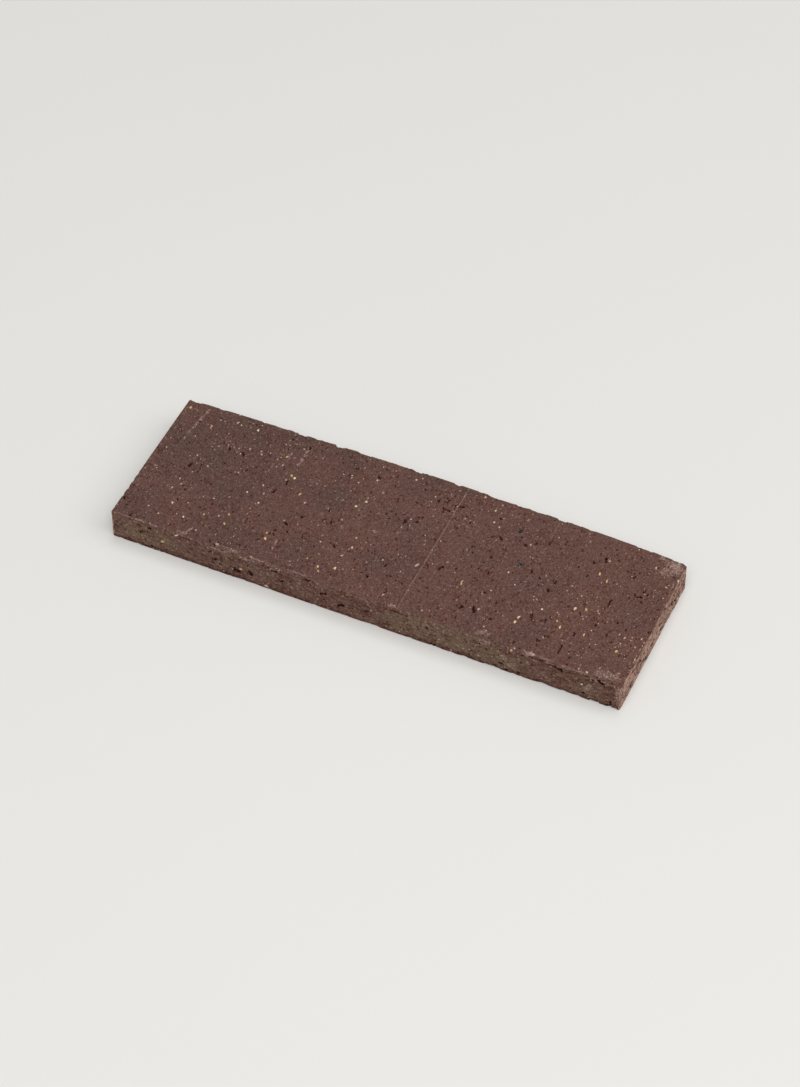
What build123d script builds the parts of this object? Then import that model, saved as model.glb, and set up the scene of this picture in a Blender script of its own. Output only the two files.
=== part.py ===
"""Brick slip: a thin facing slip of fired clay, formed and fired as one piece.

The slip lies on its back with its weathering face up. X runs along its length, Y across
the face from the front long side to the rear one, and Z from the back up to the face.
The origin is the middle of the box round the slip, at the level of its back. The rear
long side swells a little past straight, the arrises are soft, the rear arris of the face
and the front arris of the back have lost small chips, and the larger pores stand open.
"""

import os
from collections import namedtuple
from math import sqrt

from build123d import *

# Driving dimensions, in millimetres
length = 215.0  # from end to end
width = 68.2  # across the face, at the ends
thickness = 13.8  # from the back to the face
rear_swell = 2.0  # how far the rear side bows out, at mid length
front_corner_radius = 1.6  # upright corners at the front side
rear_corner_radius = 1.3  # upright corners at the rear side
face_arris_radius = 0.9  # edge all round the face
back_arris_radius = 0.5  # edge all round the back
pore_depth = 0.8  # how deep the open pores go

# A chip is a scallop in a rounded arris: its middle's distance from the end of the slip,
# its length along the arris, and its depth
Chip = namedtuple("Chip", "from_end length depth")
rear_chips_by_left_end = [
    Chip(4.0, 4.0, 0.4),
    Chip(50.5, 5.0, 0.7),
    Chip(66.5, 4.5, 0.7),
    Chip(76.5, 3.5, 0.35),
    Chip(100.5, 4.5, 0.75),
]
rear_chips_by_right_end = [
    Chip(52.5, 5.0, 0.6),
    Chip(19.5, 4.0, 0.3),
]
front_chips_by_left_end = [
    Chip(56.5, 4.0, 0.3),
    Chip(101.0, 4.5, 0.35),
]
front_chips_by_right_end = [
    Chip(53.5, 4.5, 0.35),
    Chip(31.5, 4.0, 0.3),
    Chip(10.5, 5.0, 0.5),
]

# An open pore is a slot sunk in a side: its place along and across the side, measured from
# the middle, its size, and its turn in degrees from the side's long direction
Pore = namedtuple("Pore", "along across length width turn")
face_pores = [
    Pore(87.6, 1.5, 6.2, 0.9, 86),
    Pore(79.2, -27.2, 5.4, 0.8, 91),
    Pore(91.3, 18.3, 2.1, 0.9, 75),
    Pore(81.3, -18.2, 2.2, 0.8, 71),
    Pore(70.0, -14.1, 2.3, 0.8, 97),
    Pore(64.8, 2.6, 3.0, 0.9, 93),
    Pore(55.0, 21.0, 2.6, 0.9, 83),
    Pore(49.1, 6.1, 1.9, 1.3, 77),
    Pore(46.8, 16.2, 2.4, 0.9, 141),
    Pore(42.0, 22.3, 2.4, 1.2, 59),
    Pore(42.2, -12.6, 2.0, 0.9, 4),
    Pore(39.1, -2.8, 2.4, 0.9, 93),
    Pore(36.5, 15.7, 3.0, 0.9, 134),
    Pore(-0.5, 27.0, 1.7, 0.9, 169),
    Pore(-0.7, 8.5, 2.6, 1.1, 109),
    Pore(-2.4, -23.9, 2.4, 1.0, 110),
    Pore(-19.7, 25.5, 2.0, 1.0, 3),
    Pore(-27.3, -18.4, 1.6, 1.0, 132),
    Pore(-30.1, 1.0, 2.5, 1.4, 48),
    Pore(-38.2, -6.3, 2.4, 1.0, 50),
    Pore(-42.8, -12.1, 2.8, 0.8, 148),
    Pore(-51.8, 7.7, 3.6, 0.8, 96),
    Pore(-49.3, -24.4, 2.1, 1.0, 48),
    Pore(-64.2, -15.8, 2.0, 0.8, 73),
]
front_side_pores = [
    Pore(-62.6, -0.2, 2.0, 1.0, 20),
    Pore(-52.6, -2.2, 2.8, 1.2, 10),
    Pore(-46.9, -1.4, 2.0, 1.1, 0),
    Pore(-33.0, 0.8, 2.2, 0.8, 40),
    Pore(-8.4, -1.8, 3.4, 1.0, 12),
    Pore(16.0, 2.0, 8.0, 0.7, 3),
    Pore(82.0, 2.0, 4.4, 0.9, -12),
]
right_end_pores = [
    Pore(-26.0, -1.5, 2.2, 1.0, 10),
    Pore(-12.5, 1.6, 2.6, 0.9, 0),
    Pore(-3.0, -2.4, 2.0, 1.1, 20),
    Pore(8.0, 1.2, 2.8, 0.9, -8),
    Pore(19.0, -1.8, 2.2, 1.0, 0),
]

# The box round the slip is centred, so the straight parts of its plan lie here
left_x = -length / 2
right_x = length / 2
front_y = -(width + rear_swell) / 2
rear_y = front_y + width


def rear_side_y(x):
    """How far back the bowed rear side is, at this place along the slip."""
    bow_radius = ((length / 2) ** 2 + rear_swell**2) / (2 * rear_swell)
    return rear_y + rear_swell - bow_radius + sqrt(bow_radius**2 - x**2)


def ball_of(chip, arris_radius):
    """The radius of the ball that leaves this chip, and its centre's offset from both faces."""
    radius = (chip.length**2 / 4 + chip.depth**2) / (2 * chip.depth)
    arris_setback = (sqrt(2) - 1) * arris_radius
    offset = (radius - chip.depth - arris_setback) / sqrt(2)
    return radius, offset


def chip_face_at_rear(x, chip):
    """Knocks a chip out of the rear arris of the face."""
    radius, offset = ball_of(chip, face_arris_radius)
    with Locations((x, rear_side_y(x) + offset, thickness + offset)):
        Sphere(radius, mode=Mode.SUBTRACT)


def chip_back_at_front(x, chip):
    """Knocks a chip out of the front arris of the back."""
    radius, offset = ball_of(chip, back_arris_radius)
    with Locations((x, front_y - offset, -offset)):
        Sphere(radius, mode=Mode.SUBTRACT)


def open_pores(side, pores):
    """Sinks open pores into a side, given as the plane that it lies in."""
    with BuildSketch(side) as mouths:
        for pore in pores:
            with Locations((pore.along, pore.across)):
                SlotOverall(pore.length, pore.width, rotation=pore.turn)
    extrude(mouths.sketch, amount=-pore_depth, mode=Mode.SUBTRACT)


with BuildPart() as brick_slip:
    with BuildSketch(Plane.XY):
        with BuildLine():
            Line((right_x, rear_y), (right_x, front_y))
            Line((right_x, front_y), (left_x, front_y))
            Line((left_x, front_y), (left_x, rear_y))
            ThreePointArc((left_x, rear_y), (0, rear_y + rear_swell), (right_x, rear_y))
        make_face()
    extrude(amount=thickness)

    upright_corners = brick_slip.edges().filter_by(Axis.Z).group_by(Axis.Y)
    fillet(upright_corners[0], radius=front_corner_radius)
    upright_corners = brick_slip.edges().filter_by(Axis.Z).group_by(Axis.Y)
    fillet(upright_corners[-1], radius=rear_corner_radius)
    fillet(brick_slip.faces().sort_by(Axis.Z)[-1].edges(), radius=face_arris_radius)
    fillet(brick_slip.faces().sort_by(Axis.Z)[0].edges(), radius=back_arris_radius)

    for chip in rear_chips_by_left_end:
        chip_face_at_rear(left_x + chip.from_end, chip)
    for chip in rear_chips_by_right_end:
        chip_face_at_rear(right_x - chip.from_end, chip)
    for chip in front_chips_by_left_end:
        chip_back_at_front(left_x + chip.from_end, chip)
    for chip in front_chips_by_right_end:
        chip_back_at_front(right_x - chip.from_end, chip)

    middle_z = thickness / 2
    open_pores(Plane((0, 0, thickness)), face_pores)
    open_pores(Plane((0, front_y, middle_z), x_dir=(1, 0, 0), z_dir=(0, -1, 0)), front_side_pores)
    open_pores(Plane((right_x, 0, middle_z), x_dir=(0, 1, 0), z_dir=(1, 0, 0)), right_end_pores)

brick_slip.part.label = "brick_slip"

os.makedirs("parts", exist_ok=True)
export_step(brick_slip.part, "parts/brick_slip.step")
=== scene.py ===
"""A loose brick slip: the weathered body of fired clay, the grog grains in its skin, and a pale studio."""

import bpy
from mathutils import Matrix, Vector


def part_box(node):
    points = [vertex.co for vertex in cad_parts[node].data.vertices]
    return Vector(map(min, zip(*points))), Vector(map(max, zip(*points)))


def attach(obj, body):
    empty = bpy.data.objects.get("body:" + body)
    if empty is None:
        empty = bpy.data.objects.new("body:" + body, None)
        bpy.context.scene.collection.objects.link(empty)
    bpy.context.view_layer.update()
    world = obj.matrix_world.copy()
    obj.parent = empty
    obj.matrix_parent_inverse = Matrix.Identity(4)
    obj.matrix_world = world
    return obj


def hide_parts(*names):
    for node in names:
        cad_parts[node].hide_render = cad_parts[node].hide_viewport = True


bl_info = {
    "name": "Brick Slip",
    "version": (1, 0, 0),
    "blender": (4, 5, 0),
    "location": "View3D > Sidebar > Brick Slip",
    "description": "Models a thin facing slip of fired clay and the pale studio that it lies in",
    "category": "Object",
}

import math
import random
from collections import namedtuple

import bmesh
import bpy
import numpy as np
from bpy.props import FloatProperty, FloatVectorProperty, IntProperty, PointerProperty
from bpy.types import Operator, Panel, PropertyGroup
from mathutils import Matrix, Vector, noise
from mathutils.bvhtree import BVHTree

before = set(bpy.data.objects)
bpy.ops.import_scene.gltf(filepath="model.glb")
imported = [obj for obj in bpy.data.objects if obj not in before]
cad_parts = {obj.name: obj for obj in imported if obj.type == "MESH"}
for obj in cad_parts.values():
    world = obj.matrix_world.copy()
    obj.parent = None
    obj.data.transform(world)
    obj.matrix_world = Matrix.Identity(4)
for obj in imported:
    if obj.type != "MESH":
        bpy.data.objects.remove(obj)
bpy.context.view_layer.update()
LOW, HIGH = (Vector(corner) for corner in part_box("brick_slip"))
MM = 0.001


def linear(hex_colour):
    """The linear colour of an sRGB hex value."""
    values = [int(hex_colour[start : start + 2], 16) / 255 for start in (1, 3, 5)]
    return tuple(v / 12.92 if v <= 0.04045 else ((v + 0.055) / 1.055) ** 2.4 for v in values)


# Settings that a user would change


class SlipShape(PropertyGroup):
    """Sizes of the slip's plain form and of the wear on it."""

    rear_swell: FloatProperty(
        name="Rear swell",
        description="How far the rear side bows out past its ends",
        default=2.0 * MM,
        unit="LENGTH",
    )
    front_corner: FloatProperty(
        name="Front corner radius",
        description="Radius of the two upright corners at the front side",
        default=0.6 * MM,
        unit="LENGTH",
    )
    rear_corner: FloatProperty(
        name="Rear corner radius",
        description="Radius of the two upright corners at the rear side",
        default=0.8 * MM,
        unit="LENGTH",
    )
    face_arris: FloatProperty(
        name="Face arris radius",
        description="Radius of the soft edge all round the face, before wear",
        default=0.4 * MM,
        unit="LENGTH",
    )
    back_arris: FloatProperty(
        name="Back arris radius",
        description="Radius of the edge all round the back, before wear",
        default=0.20 * MM,
        unit="LENGTH",
    )
    spacing: FloatProperty(
        name="Mesh spacing",
        description="Spacing of the mesh that the relief is pressed into",
        default=0.34 * MM,
        unit="LENGTH",
    )
    triangles: IntProperty(
        name="Triangles", description="How many triangles the finished body keeps", default=190000
    )
    seed: IntProperty(name="Seed", description="Picks another set of pores and grains", default=7)


class ClayColours(PropertyGroup):
    """Colours of the fired clay."""

    cool: FloatVectorProperty(
        name="Cool clay",
        description="Greyer brown that the clay starts from",
        default=linear("#5C4640"),
        subtype="COLOR",
    )
    warm: FloatVectorProperty(
        name="Warm clay",
        description="Redder brown, strongest at the right",
        default=linear("#6A4C44"),
        subtype="COLOR",
    )
    ash: FloatVectorProperty(
        name="Ash",
        description="Grey of reduced clay, in small patches",
        default=linear("#564842"),
        subtype="COLOR",
    )
    slate: FloatVectorProperty(
        name="Slate",
        description="Dark grey that a nodule leaves in the clay round it",
        default=linear("#4B4441"),
        subtype="COLOR",
    )
    # Also laid along the foot of the sides and ends, partly as painted shade near the floor and partly as
    # darker clay
    burnt: FloatVectorProperty(
        name="Burnt clay",
        description="Small patches that fired to a dark red",
        default=linear("#481F17"),
        subtype="COLOR",
    )
    olive: FloatVectorProperty(
        name="Olive side",
        description="Olive brown bloom on the long sides",
        default=linear("#725E4D"),
        subtype="COLOR",
    )
    pale: FloatVectorProperty(
        name="Pale side",
        description="Clay of the long sides, a little greyer than the face",
        default=linear("#694F44"),
        subtype="COLOR",
    )
    dust: FloatVectorProperty(
        name="Dust",
        description="Pale clay dust on worn arrises and in scratches",
        default=linear("#B0958A"),
        subtype="COLOR",
    )
    # Painted shade: this near-black colour stands in for the shadow deep inside the open pores and pits
    pore: FloatVectorProperty(
        name="Pore", description="Inside of an open pore", default=linear("#290B05"), subtype="COLOR"
    )
    cut: FloatVectorProperty(
        name="Dragged end",
        description="Paler clay of the two ends, where the wire dragged",
        default=linear("#B4917F"),
        subtype="COLOR",
    )


class GrainMix(PropertyGroup):
    """How many grog grains show in the skin, and how large they are."""

    per_square_cm: FloatProperty(
        name="Grains per square centimetre",
        description="Scattered grains in each square centimetre of the face",
        default=5.0,
    )
    typical: FloatProperty(
        name="Typical grain", description="Width of a middling grain", default=0.42 * MM, unit="LENGTH"
    )
    spread: FloatProperty(
        name="Spread of sizes",
        description="0 gives grains of one size, and 0.4 a few of twice the typical width",
        default=0.32,
    )


class StudioSettings(PropertyGroup):
    """The pale floor, the soft light and the camera."""

    floor: FloatVectorProperty(
        name="Floor", description="Colour of the pale floor", default=linear("#E7E6E2"), subtype="COLOR"
    )
    key_power: FloatProperty(
        name="Key light", description="Power of the soft light at the right", default=20.5, unit="POWER"
    )
    fill_power: FloatProperty(
        name="Fill light",
        description="Power of the high soft light behind the camera",
        default=63.5,
        unit="POWER",
    )
    top_power: FloatProperty(
        name="Top light",
        description="Power of the small light high behind the slip",
        default=11.0,
        unit="POWER",
    )
    sky: FloatProperty(
        name="Room light", description="Strength of the even light from all round", default=0.25
    )
    azimuth: FloatProperty(
        name="Camera azimuth",
        description="Turn of the camera round the slip, from straight in front towards the right",
        default=math.radians(24.34),
        subtype="ANGLE",
    )
    elevation: FloatProperty(
        name="Camera elevation",
        description="Height of the camera above the horizon",
        default=math.radians(47.68),
        subtype="ANGLE",
    )
    roll: FloatProperty(
        name="Camera roll",
        description="Turn of the camera about its own line of sight",
        default=math.radians(0.2),
        subtype="ANGLE",
    )
    distance: FloatProperty(
        name="Camera distance",
        description="Distance from the camera to the point that it looks at",
        default=1304.0 * MM,
        unit="LENGTH",
    )
    lens: FloatProperty(
        name="Lens",
        description="Focal length for a picture 36 mm on its long side",
        default=110.4,
        unit="CAMERA",
    )


# Marks on the slip. All sizes here are in millimetres, in the slip's own
# frame, and a turn is in degrees from the side's long direction. Strength is 1 where a
# mark is whole, and less where the noise of the clay breaks it up.

Mark = namedtuple("Mark", "side u v length width turn strength", defaults=(0, 1))


def on(side, *places):
    """Marks on one side, or on an arris between two."""
    return [Mark(side, *place) for place in places]


PORES = [
    *on(
        "face",
        (87.8, 3.7, 1.8, 1.1, 70, 1.1), (87.5, 1.4, 4.6, 0.8, 88, 0.85),
        (87.1, -1, 1.4, 0.9, 60, 1), (79.2, -27.2, 5.4, 0.9, 91, 0.9), (79, -24.9, 1.2, 1, 91, 0.9),
        (42, 22.3, 2.6, 1.7, 59, 1.3), (49.1, 6.1, 2.2, 1.7, 77, 1.3),
        (-0.9, 8.3, 3, 1.9, 109, 1.3), (-30.1, 1, 2.5, 1.9, 48, 1.05),
        (-19.7, 25.5, 2, 1.4, 3, 1.05), (64.8, 2.6, 3, 1.3, 93, 1), (39.1, -2.8, 2.4, 1.2, 93, 1),
        (46.8, 16.2, 2.4, 1.3, 141, 1), (36.5, 15.7, 3, 1.2, 134, 0.95),
        (-42.8, -12.1, 2.8, 1.1, 148, 0.95), (-51.8, 7.7, 3.6, 1, 96, 0.9),
        (91.3, 18.3, 2.1, 1.2, 75, 1.05), (-38.2, -6.3, 2.4, 1.4, 50, 1),
        (42.2, -12.6, 2, 1.3, 4, 1), (-49.3, -24.4, 2.1, 1.3, 48, 1), (55, 21, 2.6, 1.3, 83, 1),
        (37.1, 5.2, 1.6, 1.3, 132, 1), (-27.3, -18.4, 1.6, 1.3, 132, 1),
        (-0.5, 27, 1.7, 1.2, 169, 1), (81.3, -18.2, 2.2, 1.1, 71, 0.9),
        (-64.2, -15.8, 2, 1.1, 73, 0.95), (-44.8, -17, 2.1, 1.1, 93, 0.95),
        (70, -14.1, 2.3, 1.1, 97, 0.9), (-2.4, -23.9, 2.4, 1.4, 110, 0.95),
    ),
    *on(
        "front",
        (-53.2, 4.4, 3.6, 2.6, 10, 1.4), (-46.9, 5.4, 3, 2.6, 0, 1.4),
        (-62.6, 6.6, 2.6, 1.7, 20, 1.3), (-8.4, 5, 3.6, 1.9, 12, 1.3),
        (-36.6, 11.4, 3.4, 1.4, 15, 1.1), (-33, 7.6, 2.2, 1.1, 40, 1.1), (16, 11.8, 8, 1, 3, 0.9),
        (82, 11, 4.4, 1.3, -12, 1.2), (73, 12.6, 7, 1.2, 2, 1.1), (99, 12, 4, 1.2, -20, 1.1),
        (-23, 12.4, 3, 1.2, 10, 1.1), (103, 3, 2.6, 1.6, 0, 1.2),
    ),
    *on(
        "right",
        (-26, 5.4, 2.6, 1.5, 10, 1.3), (-12.5, 8.5, 3, 1.4, 0, 1.3), (-3, 4.5, 2.4, 1.6, 20, 1.3),
        (8, 8.1, 3.2, 1.4, -8, 1.3), (19, 5.1, 2.6, 1.5, 0, 1.3), (-18.3, 5.6, 2.2, 1.4, 0, 1.2),
        (-13.6, 11.4, 2.4, 1.4, 0, 1.2), (-3.6, 12.4, 2.2, 1.2, 0, 1.2), (1.4, 8, 2.2, 1.4, 0, 1.2),
        (8.8, 11.6, 2.8, 1.5, 10, 1.3), (15, 9.4, 2.4, 1.6, 0, 1.2), (19.8, 9, 2.6, 1.5, 0, 1.2),
        (26.4, 11.4, 2.2, 1.4, 0, 1.2), (30.7, 7.3, 2.8, 1.6, 15, 1.3),
        (6.4, 3.8, 2.6, 1.5, 0, 1.2), (21.9, 4.2, 2.6, 1.5, 0, 1.3), (26.2, 3.8, 2.4, 1.5, 0, 1.2),
        (-9.8, 2.6, 2.8, 1.5, 0, 1.2), (-2.1, 1.8, 2.4, 1.5, 0, 1.2), (-23.6, 2, 2.4, 1.5, 0, 1.2),
    ),
]

# Small pores scattered over each side: how many, their typical width in millimetres, how far
# they are drawn out, their turn and the range of their strength
SmallPores = namedtuple("SmallPores", "side count width stretch turn strength")
SMALL_PORES = [
    SmallPores("face", 150, 0.95, 2.2, 95, (0.6, 1.05)),
    SmallPores("front", 55, 1.15, 2.0, 5, (0.8, 1.2)),
    SmallPores("rear", 50, 1.0, 2.0, 5, (0.7, 1.1)),
    SmallPores("left", 50, 1.0, 2.0, 0, (0.7, 1.2)),
    SmallPores("right", 40, 1.0, 2.0, 0, (0.7, 1.2)),
    SmallPores("back", 110, 1.1, 2.0, 0, (0.7, 1.1)),
]

# Length runs along the arris and strength is how many millimetres the arris has lost
CHIPS = [
    *on(
        "rear arris",
        (-103.5, 0, 4, 2.4, 0, 0.6), (-57, 0, 5, 2.8, 0, 1.2), (-41, 0, 4.5, 2.8, 0, 1.2),
        (-31, 0, 3.5, 2, 0, 0.8), (-7, 0, 4.5, 2.8, 0, 1.2), (10, 0, 3.5, 2, 0, 0.6),
        (36, 0, 26, 3, 0, 0.4), (55, 0, 5, 2.6, 0, 1.1), (88, 0, 4, 2.2, 0, 0.7),
        (103, 0, 4.5, 3, 0, 0.6),
    ),
    *on(
        "foot arris",
        (-51, 0, 4, 2, 0, 0.5), (-6.5, 0, 4.5, 2, 0, 0.5), (21, 0, 3, 1.8, 0, 0.4),
        (54, 0, 5.5, 2.2, 0, 0.7), (64, 0, 3, 2, 0, 0.6), (76, 0, 4, 2.2, 0, 0.8),
        (84.5, 0, 3, 2, 0, 0.7), (90, 0, 2.6, 1.8, 0, 0.6), (97, 0, 5, 2.6, 0, 1.1),
        (104.5, 0, 5, 2.6, 0, 1),
    ),
    *on(
        "left arris",
        (-12.2, 0, 2.4, 2, 0, 0.4), (-16.3, 0, 2.2, 2, 0, 0.7), (-20.5, 0, 2.8, 2.2, 0, 0.9),
        (-25, 0, 2.4, 2, 0, 0.5),
    ),
    *on("right arris", (32, 0, 4, 3, 0, 0.9), (24, 0, 3, 2.2, 0, 0.6), (-30.5, 0, 4, 2.6, 0, 0.7)),
    *on("front", (107.3, 1.5, 4, 3, 90, 0.8)),
]

# Where the olive bloom lies thickest
BLOOMS = [
    *on(
        "front",
        (-92, 6, 34, 18, 0, 0.75), (-64, 6, 22, 14, 0, 0.4), (4, 9.5, 22, 10, 0, 0.45),
        (34, 8, 58, 20, 0, 1), (62, 5, 20, 16, 0, 0.9), (92, 7, 22, 16, 0, 0.6),
    ),
    *on("rear", (-50, 7, 90, 24, 0, 0.8), (55, 7, 80, 24, 0, 0.8)),
]

# Pale dusty scuffs
SCUFFS = [
    *on(
        "face",
        (-98.3, 25.5, 14, 2.4, 83, 0.99), (-99.5, 16, 10, 2.2, 83, 0.96),
        (-99.8, 11.5, 4, 1.5, 80, 1), (-106.3, 26, 7, 1.6, 90, 1), (-51.6, 23.5, 13, 2.4, 88, 1.01),
        (-57, 21.5, 6, 1.6, 95, 1), (-61, 11.5, 9, 1.4, 92, 0.98), (-41.7, -24, 7, 1.6, 95, 1),
        (-75.4, -31.5, 6, 2.2, 70, 1.03), (103, 28, 15, 11, 60, 0.97), (106.3, 19.5, 6, 2, 90, 1),
        (104.5, 29.5, 9, 6, 120, 1.05), (99.5, 31.5, 8, 3, 175, 1.03),
        (-97, -34.4, 20, 1.8, 0, 0.99), (-77.5, -33.4, 7, 2.8, 20, 0.92),
        (-58.5, -33.5, 13, 3, 0, 0.95), (-43.5, -33.8, 9, 2.2, 0, 0.99),
        (-31, -33.6, 16, 2.4, 0, 0.96), (13, -33.4, 6, 3.4, 0, 1), (49.5, -31.8, 8, 4.4, 0, 0.94),
        (69.5, -33.8, 7, 3.2, 0, 1.02), (76, -33.8, 9, 2, 0, 0.96), (88, -34.2, 12, 2, 0, 0.99),
        (100.5, -31.6, 13, 6.6, 8, 0.99), (27, -14.8, 6, 5, 30, 0.88), (-18, 2, 16, 8, 100, 0.82),
    ),
    *on(
        "front",
        (-74, 3.6, 30, 1.6, 1, 0.98), (61.5, 5, 11, 5, -40, 0.98), (93.5, 6, 9, 4.4, 60, 0.99),
        (106.2, 7, 12, 3, 90, 1), (-61, 12.8, 9, 2.2, 0, 1), (-48, 12.8, 8, 2.2, 0, 1),
        (-36, 12.6, 5, 2, 0, 0.99), (2, 12.8, 7, 2, 0, 0.99), (33, 12.8, 7, 2, 0, 0.99),
        (52, 12.8, 9, 2.2, 0, 1), (68.5, 12.8, 8, 2.4, 0, 1.03), (81, 12.8, 12, 1.8, 0, 0.99),
        (100, 12.4, 12, 2.4, 0, 0.98),
    ),
]

# Grey halos that nodules leave in the clay round them
STAINS = [
    *on(
        "face",
        (42, 22.3, 5.4, 5, 0, 1.35), (49.1, 6.1, 5.6, 5, 0, 1.6), (-0.7, 8.5, 5.4, 4.4, 90, 1.1),
        (-61.2, 3.4, 5, 4.6, 0, 1), (-31.5, 13.4, 4.6, 3.6, 0, 1.05), (69, -22, 4.6, 4, 0, 1),
    ),
]

# The larger grains, by their kind in GRAINS
LARGE_GRAINS = {
    "cream chamotte": [
        *on(
            "face",
            (58.7, -19, 2.4, 1.2, 72), (58.4, -21.8, 1.8, 1.3, 80), (76.7, -6.2, 2.2, 1, 82),
            (-50, 11, 1.6, 1.3, 60), (-13.8, -13.1, 1.8, 0.9, 106), (32.2, -12.6, 1.2, 0.8, 85),
            (-15.2, -25.6, 2, 0.9, 94), (-21.6, -27.4, 1.6, 0.8, 110), (-18.9, 11.2, 1.4, 1, 118),
            (-21.6, 7.4, 1.5, 1.1, 13), (-6, 30.2, 1.1, 0.9, 90), (-80.5, -25.7, 1.5, 0.8, 107),
        ),
        *on("front", (91.6, 7.6, 1.5, 1, 40)),
        *on("right", (-6.2, 5.7, 2.2, 1, 0)),
    ],
    "white quartz": [
        *on("face", (-74.7, 28.7, 2, 0.9, 103), (65.4, -11.6, 1.3, 1, 118), (0.8, 10.2, 1.3, 0.6, 60)),
        *on("front", (-78.7, 12.7, 2.3, 1.9, 0)),
        *on("right", (24, 13, 1.6, 1, 0)),
    ],
    "amber chamotte": [
        *on(
            "face",
            (99, -19.4, 1.8, 1.2, 67), (-105, 28.9, 1.9, 1.2, 93), (80.8, -4.6, 1.9, 1.2, 97),
            (92.8, -33.3, 1.6, 1.1, 110), (-51.6, 11.8, 1.8, 1, 126), (32, -11, 2.8, 0.8, 85),
            (-46.4, -22.7, 1.8, 1.2, 115), (75.1, -17.2, 1.9, 0.9, 94), (97.2, 26, 1.8, 0.9, 96),
            (82.5, 11.9, 2.6, 0.9, 98), (78.6, 14.4, 2, 0.9, 98), (-91.6, -13.3, 1.8, 0.8, 72),
            (-64.4, -22.2, 1.5, 1, 118), (84.8, -17, 2.4, 0.7, 96), (-84, 29.1, 1.7, 1.1, 80),
        ),
        *on("front", (-85.1, 6.6, 2.2, 1.4, 20), (-51.1, 6.2, 1.8, 1.2, 0), (62.6, 12.8, 1.4, 1.2, 60)),
        *on("right", (-0.2, 2.8, 1.5, 1, 0), (24, 2.6, 2.4, 1.1, 0)),
    ],
    "pale grog": [
        *on(
            "face",
            (12.8, -10.9, 2.4, 1, 71), (1.6, 7.2, 1.2, 0.6, 110), (70.4, -33.4, 3, 1.4, 158),
            (-47.4, -33.5, 1.6, 1.1, 10),
        ),
        *on("front", (-40.2, 1.5, 2.2, 1.6, 0)),
        *on("right", (-21.7, 11.1, 2.2, 1.1, 0), (11, 8.8, 2.4, 1.2, 0)),
    ],
    "ironstone": [
        *on("face", (49.3, 6.4, 1.2, 1, 0), (42.4, 22.8, 1.3, 1, 0)),
    ],
    "burnt shale": [
        *on(
            "face", (57.6, -11.6, 2.4, 1.3, 120), (59.8, -13.2, 1.8, 1.2, 40), (-64.6, -9.6, 1.8, 1.2, 60)
        ),
    ],
}

# Smaller grains and pits on the face that catch the eye, by their places
FACE_GRAINS = {
    "pale grog": [
        (-81.8, 16.6), (-79.3, 16.6), (-77.1, 16.6), (-72.9, 18.2), (-68.4, 18.8), (-67.6, 17.3),
        (-60.7, 17.7), (-57.3, 15.5), (-92.5, 23.0), (-91.1, -7.7), (-68.2, -19.5), (-59.2, -22.7),
        (-95.5, -26.0), (-41.7, -26.0), (-40.7, 0.8), (-26.9, 14.0), (7.3, -30.0), (8.4, -16.5),
        (4.1, -8.9), (7.0, -8.5), (16.1, 4.4), (22.6, 33.0), (9.7, 29.0), (-15.6, -18.4), (50.4, -30.2),
        (43.4, -21.6), (102.0, -12.0), (96.5, -29.5), (-64.6, 19.3), (-90.9, -34.0),
    ],
    "cream chamotte": [
        (-87.8, -20.8), (-72.8, -30.0), (-26.2, -15.4), (-14.4, -7.8), (4.1, 22.1), (14.4, 23.9),
        (29.0, 28.0), (31.0, 22.1), (46.3, 0.4), (63.5, -33.8), (-57.1, -6.9), (-19.8, 23.6),
    ],
    "amber chamotte": [
        (-96.1, 15.5), (-71.5, 4.5), (-44.4, 4.1), (-57.8, 20.3), (-59.6, 2.4), (-73.8, -21.1),
        (-58.1, -26.7), (-20.5, -29.4), (-27.1, -25.3), (-10.1, -8.2), (9.4, 4.6), (19.9, 19.1),
        (27.7, -8.2), (60.3, 4.7), (71.3, 4.1), (86.6, -13.8), (72.9, -14.7), (102.0, -10.5),
    ],
    "burnt shale": [(-64.4, -14.4), (11.7, 30.1), (26.1, 21.0), (20.8, -6.3), (22.3, -20.2), (38.9, -3.4)],
    "ironstone": [(-61.8, 4.6), (-0.9, 7.6), (-0.2, 9.4)],
}
FACE_PITS = [
    (-54.0, -12.8), (-40.3, -15.8), (-36.3, 26.8), (-64.5, 26.1), (-51.6, 29.0), (-106.3, -26.0),
    (-5.8, 10.0), (-9.4, 8.9), (-7.1, 7.3), (-1.0, 19.5), (3.3, 12.2), (-13.4, 18.4), (-29.6, -3.8),
    (-12.0, -12.9), (-4.2, -21.6), (32.5, 25.3), (22.3, 18.1), (33.6, 15.3), (30.1, 4.2), (28.1, 6.8),
    (27.2, -5.8), (16.8, -16.2), (70.2, -26.7), (98.3, -7.8), (94.1, -5.6), (42.2, -6.3), (51.7, -0.5),
    (48.0, -15.4), (43.8, 19.5), (77.9, -22.0),
]

# Scores across the face: where each lies, how far front it runs, and how strongly it shows
Score = namedtuple("Score", "u front_end colour strength")
SCORES = [
    Score(14.9, -40.0, "dust", 0.33),
    Score(14.2, -40.0, "burnt", 0.40),
    Score(54.5, -6.0, "dust", 0.12),
]


# The layers of the clay. Size is how many millimetres a patch is across. Where the noise
# lies between start and end the layer fades in, up to its amount. Drawn is how the
# coordinates are scaled, so that less than 1 draws a patch out.

Layer = namedtuple("Layer", "region what size start end amount drawn", defaults=((1, 1, 1),))

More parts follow.
